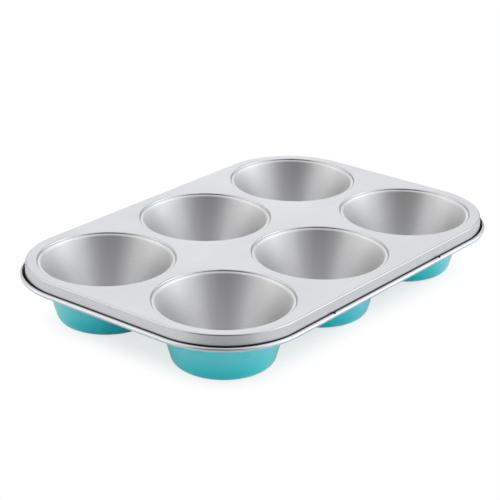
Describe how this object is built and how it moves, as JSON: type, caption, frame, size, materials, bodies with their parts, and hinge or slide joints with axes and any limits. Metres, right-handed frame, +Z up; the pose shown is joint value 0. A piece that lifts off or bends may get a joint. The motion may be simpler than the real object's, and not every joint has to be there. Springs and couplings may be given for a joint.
{
  "type": "muffin pan",
  "caption": "Large-cup muffin pan: flat rounded deck with a wired, curled rim and drawn tapered cups seamed into its holes, bare inside and coated outside.",
  "frame": {"origin": "on the table, under the middle of the pan", "axes": "+X along the long side, +Y across it, +Z up out of the cups' mouths"},
  "size_m": [0.3082, 0.2114, 0.0412],
  "materials": {
    "frame_steel": "satin bare steel on top, teal baked coating underneath",
    "cup_steel": "satin bare steel inside, teal baked coating outside",
    "wire_steel": "drawn steel wire, bare"
  },
  "bodies": {
    "root": {"frame_sheet": "frame_steel", "rim_wire": "wire_steel", "cup_front_left": "cup_steel", "cup_front_middle": "cup_steel", "cup_front_right": "cup_steel", "cup_back_left": "cup_steel", "cup_back_middle": "cup_steel", "cup_back_right": "cup_steel"}
  },
  "joints": []
}
